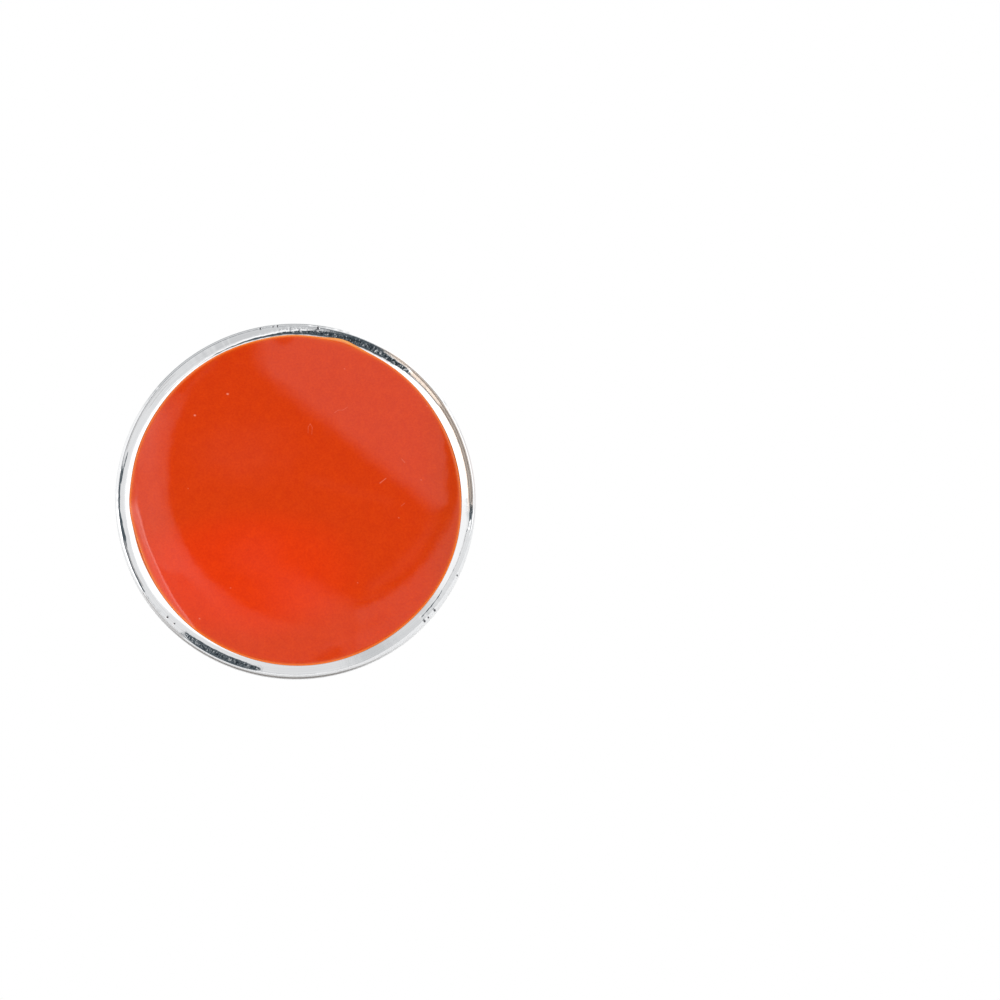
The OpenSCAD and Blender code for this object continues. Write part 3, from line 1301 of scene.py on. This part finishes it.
@dataclass(frozen=True)
class GlossyEnamel:
    """Glossy orange-red enamel, clear and bright where it thins out over the metal."""

    deep: Colour = (0.748, 0.0465, 0.0008)
    warm: Colour = (0.862, 0.0420, 0.0006)
    side: Colour = (0.660, 0.0470, 0.0008)
    thin: Colour = (1.0, 0.200, 0.012)
    film: Colour = (1.0, 0.420, 0.11)
    dark_mark: Colour = (0.55, 0.028, 0.001)
    # the colour of the painted glints of fine scratches
    scratch_glint: Colour = (1.0, 0.35, 0.22)
    roughness: float = 0.035
    cloud_roughness: float = 0.01
    refraction: float = 1.5
    cloud: Noise = Noise(0.16)
    ripple: Noise = Noise(0.7, 2.0, 0.4)
    ripple_height: float = 0.0000045
    grain: Noise = Noise(26.0)
    grain_height: float = 0.00000012

    # the warm patch: its middle, half its width and height, and where it fades, in shares of those
    warm_middle: Pair = (-2.6, -4.3)
    warm_half: Pair = (7.6, 4.0)
    warm_fade: Pair = (1.0, 0.05)
    warm_cloud: float = 0.4
    # how far to the right the side's colour starts, and how much clouds shift that
    side_at: Pair = (6.5, 9.6)
    side_cloud: float = 2.0
    # the thin edge's colour fades inwards at this rate, from full
    thin_start: float = 0.8
    thin_rate: float = 1.8
    # two bright stretches of the edge, by middle and reach in degrees, how strong the second one
    # is, and how far inwards they fade
    film_first: Pair = (73.0, 13.0)
    film_second: Pair = (93.0, 22.0)
    second_strength: float = 0.6
    film_inward: Pair = (0.95, 0.25)

    tint_at: Pair = (0.25, 0.75)
    tints: tuple[Tint, ...] = (
        Tint(Noise(8.5, 2.0, 0.6), (0.965, 0.85, 0.65), (1.035, 1.15, 1.50)),
        Tint(Noise(1.6, 3.0, 0.6), (0.975, 0.94, 0.90), (1.025, 1.06, 1.10)))
    # where each mark starts and ends, its width and how light (above 0, a painted glint of a fine scratch)
    # or dark it is
    marks: tuple[Mark, ...] = tuple(Mark(*row) for row in (
        ((-3.73, 5.91), (-3.7, 5.9), 0.085, 0.8),
        ((-5.56, 4.72), (-5.53, 4.71), 0.08, 0.75),
        ((-5.97, 0.54), (-5.95, 0.53), 0.045, 0.4),
        ((-3.69, -5.09), (-3.66, -5.09), 0.045, 0.4),
        ((-5.42, -6.71), (-5.39, -6.73), 0.055, 0.5),
        ((5.66, -1.25), (5.69, -1.27), 0.045, 0.4),
        ((3.33, -4.88), (3.35, -4.9), 0.045, 0.4),
        ((2.8, 7.31), (2.83, 7.3), 0.045, 0.35),
        ((6.95, 0.91), (6.98, 0.9), 0.05, 0.35),
        ((7.37, 5.18), (7.39, 5.17), 0.05, 0.35),
        ((4.66, 0.69), (5.01, 0.97), 0.04, 0.42),
        ((5.9, 2.08), (6.07, 1.88), 0.04, 0.3),
        ((5.83, -0.59), (6.03, -0.42), 0.03, 0.22),
        ((0.72, 3.56), (0.73, 3.91), 0.024, 0.24),
        ((0.73, 3.91), (0.85, 4.08), 0.024, 0.26),
        ((0.85, 4.08), (0.96, 3.88), 0.024, 0.26),
        ((0.96, 3.88), (0.92, 3.47), 0.024, 0.24),
        ((2.21, 4.73), (2.41, 4.87), 0.026, 0.22),
        ((2.41, 4.87), (2.68, 4.88), 0.026, 0.22),
        ((2.68, 4.88), (2.94, 5.06), 0.026, 0.2),
        ((-2.8, -3.11), (-2.67, -2.97), 0.03, -0.25),
        ((-6.03, 1.88), (-6.02, 1.71), 0.025, -0.2),
        ((8.19, -2.72), (8.24, -2.72), 0.05, -0.4),
        ((-0.43, -5.61), (-0.4, -5.62), 0.05, -0.25),
    ))

    def marked(self, face: Face, sign: float) -> Field:
        """How much the marks with the sign of a number show at each point of the face."""
        return sum(face.graph.step(face.graph.off_line(face.across, face.up, mark.start, mark.end),
                                   mark.width, 0.0) * abs(mark.strength)
                   for mark in self.marks if mark.strength * sign > 0)

    def body(self, face: Face, cloud: Field) -> Any:
        """The colour of the enamel where it's thick.

        Args:
            face: The coordinates.
            cloud: A broad noise.

        Returns:
            The colour.
        """
        graph = face.graph
        middle, half = self.warm_middle, self.warm_half
        low_x, low_y = (face.across - middle[0]) / half[0], (face.up - middle[1]) / half[1]
        low = low_x * low_x + low_y * low_y + (cloud - 0.5) * self.warm_cloud
        shifted = face.across + (cloud - 0.5) * self.side_cloud
        body = graph.blend(graph.step(shifted, *self.side_at), self.deep, self.side)
        body = graph.blend(graph.step(low, *self.warm_fade), body, self.warm)
        body = graph.blend(self.marked(face, -1), body, self.dark_mark)
        # painted highlight: the light marks are glints of fine scratches
        body = graph.blend(self.marked(face, 1), body, self.scratch_glint)
        for tint in self.tints:
            noise = graph.step(graph.noise(face.vector, tint.noise), *self.tint_at)
            body = graph.blend(1.0, body, graph.blend(noise, tint.low, tint.high), "MULTIPLY")
        return body

    def material(self, pose: RestPose) -> bpy.types.Material:
        """The finish, brighter in a band along the edge, where the enamel thins out.

        Args:
            pose: How the stud lies.

        Returns:
            The material.
        """
        made, graph = new_material("enamel_orange")
        face = Face(graph, pose)
        inward = Field(graph, graph.node("ShaderNodeAttribute", {"attribute_name": INWARD}).outputs["Fac"])
        cloud = graph.noise(face.vector, self.cloud)
        ripple = graph.noise(face.vector, self.ripple) * self.ripple_height
        grain = graph.noise(face.vector, self.grain) * self.grain_height
        thinned = graph.math("EXPONENT", self.thin_start - inward * self.thin_rate)
        bright = graph.largest(graph.bump(face.angle, *self.film_first),
                               graph.bump(face.angle, *self.film_second) * self.second_strength)
        shade = graph.blend(thinned, self.body(face, cloud), self.thin)
        shade = graph.blend(bright * graph.step(inward, *self.film_inward), shade, self.film)
        surface = graph.node("ShaderNodeBsdfPrincipled", None, {
            "Base Color": shade, "Roughness": self.roughness + cloud * self.cloud_roughness,
            "IOR": self.refraction, "Normal": graph.relief(ripple + grain)})
        graph.node("ShaderNodeOutputMaterial", None, {"Surface": surface.outputs[0]})
        return made


@dataclass(frozen=True)
class Viewpoint:
    """The camera: its angle to the face, its lens, and where the stud is in the picture."""

    below_deg: float = 11.6
    left_deg: float = 0.8
    lens: float = 200.0
    sensor: float = 36.0
    clip: Pair = (0.01, 50.0)
    picture_px: float = 1000.0
    stud_px: Pair = (295.71, 500.66)
    px_per_mm: float = 17.978
    middle_h: float = 0.94

    @property
    def distance(self) -> float:
        """Distance from the camera to the stud."""
        return self.picture_px / self.px_per_mm * MM * self.lens / self.sensor

    def back(self, pose: RestPose) -> Vector:
        """Direction from the stud to the camera."""
        tilt = Matrix.Rotation(pose.tilt + math.radians(self.below_deg), 3, "X")
        return tilt @ Matrix.Rotation(-math.radians(self.left_deg), 3, "Y") @ Vector((0.0, 0.0, 1.0))

    def build(self, pose: RestPose) -> bpy.types.Object:
        """Makes the camera and gives it to the scene.

        Args:
            pose: How the stud lies.

        Returns:
            The camera.
        """
        back = self.back(pose)
        right = Vector((0.0, 0.0, 1.0)).cross(back).normalized()
        up = back.cross(right)
        half = self.picture_px / 2
        stud = pose.matrix() @ Vector((0.0, 0.0, self.middle_h * MM))
        target = (stud + right * (half - self.stud_px[0]) / self.px_per_mm * MM
                  + up * (self.stud_px[1] - half) / self.px_per_mm * MM)
        data = bpy.data.cameras.new("camera")
        data.lens, data.sensor_width = self.lens, self.sensor
        data.clip_start, data.clip_end = self.clip
        made = new_object("camera", data)
        place = stud + back * self.distance
        out = (place - target).normalized()
        side = (right - out * right.dot(out)).normalized()
        turned = Matrix((side, out.cross(side), out)).transposed().to_4x4()
        made.matrix_world = Matrix.Translation(place) @ turned
        bpy.context.scene.camera = made
        return made


class Mirror:
    """What mirrors each direction of the tent to the camera: a slope of the stud and a point of its dome.

    It holds the slope in degrees, its direction as east and north on the face, and the dome's point
    with that slope as x and y in pixels of the picture.
    """

    least_rise: float = 0.02
    least_slope: float = 1e-5

    def __init__(self, graph: Graph, pose: RestPose, view: Viewpoint, fill: Enamel) -> None:
        """Works the slope and the point out.

        Args:
            graph: The world's graph.
            pose: How the stud lies.
            view: The camera.
            fill: The enamel.
        """
        self.graph = graph
        axes = pose.matrix().to_3x3()
        ray = graph.node("ShaderNodeTexCoord").outputs["Generated"]
        normal = graph.vector("NORMALIZE", graph.vector("ADD", ray, tuple(view.back(pose))))
        u, v, w = (graph.dot(normal, axes.col[k]) for k in range(3))
        w = graph.math("MAXIMUM", w, self.least_rise)
        self.slope = graph.math("ARCCOSINE", graph.math("MINIMUM", w, 1.0)) * math.degrees(1.0)
        length = graph.hypot(u, v) + self.least_slope
        self.east, self.north = u / length, v / length

        dome_mm = 1.0 / (2 * fill.fall + MM / (2 * view.distance))
        low, scale = math.radians(view.below_deg), view.px_per_mm
        right, up = u / w * dome_mm, v / w * dome_mm
        height = fill.top - view.middle_h - (right * right + up * up) * fill.fall
        self.x = right * scale + view.stud_px[0]
        self.y = view.stud_px[1] - up * (math.cos(low) * scale) - height * (math.sin(low) * scale)

    def toward(self, angle_deg: float, full_deg: float, none_deg: float) -> Field:
        """Masks the slopes that look in a direction.

        Args:
            angle_deg: The direction, round the face.
            full_deg: Up to how far from it the mask is 1.
            none_deg: From how far on it is 0.

        Returns:
            The mask.
        """
        a = math.radians(angle_deg)
        near = self.east * math.cos(a) + self.north * math.sin(a)
        return self.graph.step(near, math.cos(math.radians(none_deg)), math.cos(math.radians(full_deg)))

    def past(self, start: Pair, end: Pair, soft: float) -> Field:
        """Masks what is on the left of a line, looking along it.

        Args:
            start: Where the line starts.
            end: Where it ends.
            soft: Half the width over which the mask rises.

        Returns:
            The mask.
        """
        run = (Vector(end) - Vector(start)).normalized()
        off = (self.x - start[0]) * run.y - (self.y - start[1]) * run.x
        return self.graph.step(off, -soft, soft)

    def away(self, middle: Pair, wide: float = 1.0) -> Field:
        """Distance from a point, with a picture's width counted less by a factor."""
        return self.graph.hypot((self.x - middle[0]) / wide, self.y - middle[1])


@dataclass(frozen=True)
class Zone:
    """A part of the tent, by direction round the face, and how light it is.

    Where it names slopes, it fades in over them. Below them it has its low level, or leaves the
    tent as it is.
    """

    angle_deg: float
    full_deg: float
    none_deg: float
    level: float
    slopes: Pair | None = None
    low_level: float | None = None

    def over(self, mirror: Mirror, tent: Any) -> Field:
        """Lays the zone over the tent.

        Args:
            mirror: What mirrors each direction.
            tent: How light the tent is without the zone.

        Returns:
            How light it is with it.
        """
        graph, level = mirror.graph, self.level
        within = mirror.toward(self.angle_deg, self.full_deg, self.none_deg)
        if self.slopes is not None:
            steep = graph.step(mirror.slope, *self.slopes)
            if self.low_level is None:
                within = within * steep
            else:
                level = graph.mix(steep, self.low_level, self.level)
        return graph.mix(within, tent, level)


@dataclass(frozen=True)
class Streak:
    """A narrow line on the dome: its ends, how far it reaches to each side and how strong it is."""

    start: Pair
    end: Pair
    reach: float
    strength: float = 1.0

    def mask(self, mirror: Mirror) -> Field:
        """How much it shows at each point of the dome."""
        off = mirror.graph.off_line(mirror.x, mirror.y, self.start, self.end)
        return mirror.graph.step(off, self.reach, 0.0) * self.strength


@dataclass(frozen=True)
class Spot:
    """A soft spot on the dome: its middle, width over height, where it ends and is full, and strength."""

    middle: Pair
    wide: float
    reach: float
    full: float
    strength: float = 1.0

    def mask(self, mirror: Mirror) -> Field:
        """How much it shows at each point of the dome."""
        return mirror.graph.step(mirror.away(self.middle, self.wide), self.reach, self.full) * self.strength


@dataclass(frozen=True)
class CardLight:
    """The large light in the dome's upper right, cut off along a slanting line, with a rounded corner.

    Its places are in pixels of the picture. A pair gives where a side's mask is 0 and where it is 1.
    """

    cut_start: Pair = (264, 370)
    cut_end: Pair = (429, 506)
    cut_soft: float = 10.0
    right: Pair = (447.5, 444.5)
    left: Pair = (247, 275)
    corner: Pair = (424, 486)
    corner_round: Pair = (31.0, 25.0)
    corner_from: Pair = (486, 487)
    strength: float = 0.745

    def level(self, mirror: Mirror) -> Field:
        """Works out how light it makes the dome.

        Args:
            mirror: What mirrors each direction.

        Returns:
            The level at each point.
        """
        graph, x, y = mirror.graph, mirror.x, mirror.y
        card = mirror.past(self.cut_start, self.cut_end, self.cut_soft) * graph.step(x, *self.right)
        rounded = graph.step(mirror.away(self.corner), *self.corner_round)
        return card * graph.step(x, *self.left) * rounded ** graph.step(y, *self.corner_from) * self.strength


@dataclass(frozen=True)
class LeftLight:
    """The light round the dome's left side, bounded inwards by a circle, and its dimmer lower end.

    Its places are in pixels of the picture. A pair gives where a side's mask is 0 and where it is 1.
    """

    middle: Pair = (316.1, 473.9)
    radius: float = 148.0
    inner: Pair = (-3.0, 4.0)
    top: Pair = (376, 424)
    right: Pair = (300, 232)
    # it grows lighter outwards at this rate, from the first level up to the most
    rise: float = 0.036
    first: float = 0.52
    most: float = 0.93
    more_above: float = 0.35
    above: Pair = (482, 440)
    less_below: float = 0.38
    below: Pair = (560, 612)
    # its lower end is cut off by a line, past which it has a level of its own
    notch_start: Pair = (236, 632)
    notch_end: Pair = (187, 577)
    notch_soft: float = 4.0
    notch_from: Pair = (568, 575)
    notch_level: float = 0.50
    # the dimmer end, which reaches to the right as a lobe
    lobe_start: Pair = (357, 608)
    lobe_end: Pair = (240, 545)
    lobe_soft: float = 13.0
    lobe_left: Pair = (232, 335)
    low_inner: Pair = (-4.0, 6.0)
    low_top: Pair = (560, 604)
    low_right: Pair = (360, 350)
    low_level: float = 0.46

    def level(self, mirror: Mirror) -> Field:
        """Works out how light it makes the dome.

        Args:
            mirror: What mirrors each direction.

        Returns:
            The level at each point.
        """
        graph, x, y = mirror.graph, mirror.x, mirror.y
        beyond = mirror.away(self.middle) - self.radius
        shine = graph.math("MINIMUM", beyond * self.rise + self.first,
                           self.most + self.more_above * graph.step(y, *self.above))
        shine = shine * (1.0 - self.less_below * graph.step(y, *self.below))
        notch = mirror.past(self.notch_start, self.notch_end, self.notch_soft)
        notch = notch * graph.step(y, *self.notch_from)
        left = graph.mix(notch, shine, self.notch_level) * graph.step(beyond, *self.inner)
        left = left * graph.step(y, *self.top) * graph.step(x, *self.right)
        lobe = mirror.past(self.lobe_start, self.lobe_end, self.lobe_soft) * graph.step(x, *self.lobe_left)
        lower = graph.largest(lobe, graph.step(beyond, *self.low_inner) * graph.step(y, *self.low_top))
        return graph.largest(left, lower * graph.step(x, *self.low_right) * self.low_level)


@dataclass(frozen=True)
class CornerLight:
    """The light at the dome's lower right, bounded inwards by a circle, and the line inside that circle.

    Its places are in pixels of the picture. A pair gives where a side's mask is 0 and where it is 1.
    """

    middle: Pair = (305.8, 459.1)
    radius: float = 158.0
    inner: Pair = (-3.5, 3.5)
    left: Pair = (347, 357)
    top: Pair = (476, 505)
    strength: float = 0.66
    # a darker band in it: how much darker, its middle and reach beyond the circle, and its right end
    band: float = 0.14
    band_middle: Pair = (18.0, 9.0)
    band_right: Pair = (400, 370)
    # the line: its strength, its middle and reach from the circle, and its ends
    line: float = 0.17
    line_middle: Pair = (-15.0, 10.0)
    line_left: Pair = (356, 378)
    line_right: Pair = (446, 424)

    def level(self, mirror: Mirror) -> Field:
        """Works out how light it makes the dome.

        Args:
            mirror: What mirrors each direction.

        Returns:
            The level at each point.
        """
        graph, x = mirror.graph, mirror.x
        beyond = mirror.away(self.middle) - self.radius
        shape = graph.step(beyond, *self.inner) * graph.step(x, *self.left) * graph.step(mirror.y, *self.top)
        band = self.band * graph.bump(beyond, *self.band_middle) * graph.step(x, *self.band_right)
        return shape * (self.strength - band)

    def inner_line(self, mirror: Mirror) -> Field:
        """Works out how much light the line adds.

        Args:
            mirror: What mirrors each direction.

        Returns:
            The light at each point of the dome.
        """
        graph, x = mirror.graph, mirror.x
        line = graph.bump(mirror.away(self.middle) - self.radius, *self.line_middle) * self.line
        return line * graph.step(x, *self.line_left) * graph.step(x, *self.line_right)


@dataclass(frozen=True)
class Studio:
    """A white tent with a darker front, soft lights in it, and a pale floor."""

    view: Viewpoint
    fill: Enamel
    front: Colour = (0.080, 0.102, 0.118)
    card: CardLight = CardLight()
    left: LeftLight = LeftLight()
    corner: CornerLight = CornerLight()
    # clouds over the picture: one that the lights are multiplied by, and a finer one that is
    # added; each has a constant part and the part of its noise
    cloud_per_px: float = 0.022
    cloud: Noise = Noise(1.0, 4.0, 0.6)
    cloud_parts: Pair = (0.80, 0.40)
    fine_cloud: Noise = Noise(2.4, 3.0, 0.6)
    fine_parts: Pair = (-0.08, 0.16)
    # faint lights and dark places that the dome shows, in pixels of the picture
    streaks: tuple[Streak, ...] = tuple(Streak(*row) for row in (
        ((181, 394), (216, 361), 3.5, 0.22), ((310, 480), (387, 502), 9.0, 0.07),
        ((322, 647), (351, 638), 3.0, 0.2), ((149, 500), (153, 530), 2.8, 0.12),
        ((153, 530), (163, 566), 2.8, 0.12), ((163, 566), (176, 594), 2.8, 0.12),
        ((447, 521), (436, 546), 2.8, 0.17), ((436, 546), (416, 570), 2.8, 0.17),
        ((356, 600), (391, 590), 2.8, 0.17),
    ))
    spots: tuple[Spot, ...] = (
        Spot((242, 452), 1.6, 46.0, 4.0, 0.16), Spot((254, 552), 1.2, 34.0, 4.0, 0.13))
    shadows: tuple[Spot | Streak, ...] = (
        Spot((285, 336), 1.3, 11.0, 5.0), Spot((183, 387), 1.0, 8.0, 2.0),
        Streak((318, 660), (334, 653), 12.0))
    shadow_strength: float = 0.85

    # what only steeper metal shows, from these slopes on: the tent's near part, its far part from
    # steeper slopes on, the parts that the lip's outer roll shows, and the part behind the stud
    metal_slopes: Pair = (12.5, 13.2)
    near_level: float = 1.1
    left_zones: tuple[Zone, ...] = (Zone(190, 18, 30, 2.3), Zone(222, 14, 26, 1.55))
    glint_slope: Pair = (13.4, 1.4)
    glint_toward: tuple[float, float, float] = (196, 24, 40)
    glint: float = 1.5
    near_zones: tuple[Zone, ...] = (
        Zone(272, 34, 44, 1.03, (16.8, 19.5), 0.63), Zone(325, 16, 28, 0.78), Zone(22, 48, 62, 0.82))
    far_slopes: Pair = (19.0, 23.0)
    far_level: float = 1.35
    roll_zones: tuple[Zone, ...] = (
        Zone(8, 12, 26, 0.74, (26.0, 42.0)), Zone(298, 14, 24, 0.52, (25.0, 29.0)),
        Zone(334, 14, 24, 0.78, (30.0, 36.0)), Zone(160, 14, 26, 1.02, (18.0, 21.0), 0.79))
    back_toward: tuple[float, float, float] = (109, 29, 41)
    back_level: float = 0.73
    back_zones: tuple[Zone, ...] = (Zone(112, 4, 13, 0.60), Zone(90, 12, 22, 0.80))
    back_slopes: tuple[tuple[Pair, float], ...] = (((21.0, 25.0), 0.66), ((34.0, 48.0), 0.42))

    floor_size: float = 3.0
    floor_grain: Noise = Noise(900.0)
    floor_low: Colour = (0.64, 0.64, 0.64)
    floor_high: Colour = (0.67, 0.67, 0.67)
    floor_roughness: float = 0.9
    floor_reflectance: float = 0.1
    floor_glow: float = 0.35

    def on_dome(self, mirror: Mirror) -> Field:
        """Works out how light the tent is where the dome mirrors it.

        Args:
            mirror: What mirrors each direction.

        Returns:
            The level.
        """
        graph = mirror.graph
        level = graph.largest(self.card.level(mirror), self.left.level(mirror), self.corner.level(mirror))
        flat = graph.join(mirror.x * self.cloud_per_px, mirror.y * self.cloud_per_px)
        level = level * (self.cloud_parts[0] + self.cloud_parts[1] * graph.noise(flat, self.cloud))
        level = level + graph.noise(flat, self.fine_cloud) * self.fine_parts[1] + self.fine_parts[0]
        level = level + self.corner.inner_line(mirror)
        level = level + sum(light.mask(mirror) for light in self.streaks + self.spots)
        dark = graph.largest(*(shadow.mask(mirror) for shadow in self.shadows))
        return level * (1.0 - self.shadow_strength * dark)

    def on_metal(self, mirror: Mirror) -> Field:
        """Works out how light the tent is where only the steeper metal mirrors it.

        Args:
            mirror: What mirrors each direction.

        Returns:
            The level.
        """
        graph, tent = mirror.graph, self.near_level
        for zone in self.left_zones:
            tent = zone.over(mirror, tent)
        tent = tent + (graph.bump(mirror.slope, *self.glint_slope)
                       * mirror.toward(*self.glint_toward) * self.glint)
        for zone in self.near_zones:
            tent = zone.over(mirror, tent)
        tent = graph.mix(graph.step(mirror.slope, *self.far_slopes), tent, self.far_level)
        for zone in self.roll_zones:
            tent = zone.over(mirror, tent)
        back = self.back_level
        for zone in self.back_zones:
            back = zone.over(mirror, back)
        for slopes, level in self.back_slopes:
            back = graph.mix(graph.step(mirror.slope, *slopes), back, level)
        return graph.mix(mirror.toward(*self.back_toward), tent, back)

    def surround(self, pose: RestPose) -> None:
        """Paints the tent: each direction by the slope of the stud that mirrors it to the camera.

        Args:
            pose: How the stud lies.
        """
        world = bpy.data.worlds.new("tent")
        bpy.context.scene.world = world
        world.use_nodes = True
        graph = Graph(world.node_tree)
        mirror = Mirror(graph, pose, self.view, self.fill)
        steep = graph.step(mirror.slope, *self.metal_slopes)
        level = graph.mix(steep, self.on_dome(mirror), self.on_metal(mirror))
        shade = graph.blend(graph.math("MINIMUM", level, 1.0), self.front, WHITE)
        tinted = graph.node("ShaderNodeBackground", None, {
            "Color": shade, "Strength": graph.math("MAXIMUM", level, 1.0)})
        plain = graph.node("ShaderNodeBackground", None, {"Color": graph.rgba(WHITE), "Strength": 1.0})
        graph.plain_to_camera(tinted, plain, "ShaderNodeOutputWorld")

    def floor(self) -> bpy.types.Object:
        """Makes the pale floor, plain white where the camera sees it.

        Returns:
            The floor.
        """
        half = self.floor_size / 2
        mesh = bpy.data.meshes.new("floor")
        mesh.from_pydata([(-half, -half, 0.0), (half, -half, 0.0), (half, half, 0.0), (-half, half, 0.0)],
                         [], [(0, 1, 2, 3)])
        made = new_object("floor", mesh)
        pale, graph = new_material("pale_floor")
        grain = graph.noise(graph.node("ShaderNodeTexCoord").outputs["Object"], self.floor_grain)
        surface = graph.node("ShaderNodeBsdfPrincipled", None, {
            "Base Color": graph.blend(grain, self.floor_low, self.floor_high),
            "Roughness": self.floor_roughness, "Specular IOR Level": self.floor_reflectance,
            "Emission Color": graph.rgba(WHITE), "Emission Strength": self.floor_glow})
        plain = graph.node("ShaderNodeEmission", None, {"Color": graph.rgba(WHITE), "Strength": 1.0})
        graph.plain_to_camera(surface, plain, "ShaderNodeOutputMaterial")
        mesh.materials.append(pale)
        return made


def main() -> None:
    """Builds the stud's pieces, the studio and the camera, in order."""
    logging.basicConfig(level=logging.INFO, format="%(name)s: %(message)s")
    bpy.context.scene.view_settings.view_transform = "Standard"
    dish, post = Dish(), EarPost()
    pose = RestPose.of(dish, post)
    axis = frame["record"]["mounts"][0]["axis"]
    LOG.info("tilt %.3f deg, from the record %.3f deg", math.degrees(pose.tilt),
             math.degrees(math.atan2(axis[1], -axis[2])))

    fill = Enamel(dish)
    enamel = fill.build(pose, GlossyEnamel().material(pose))
    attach(enamel, "root")
    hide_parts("enamel")

    metal = Setting(dish, post, fill.edge)
    setting = metal.build(pose)
    setting.data.materials.append(PolishedSilver().material(pose, metal.pits))
    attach(setting, "root")
    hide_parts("setting")

    view = Viewpoint()
    view.build(pose)
    studio = Studio(view, fill)
    studio.surround(pose)
    studio.floor()


if __name__ == "__main__":
    main()
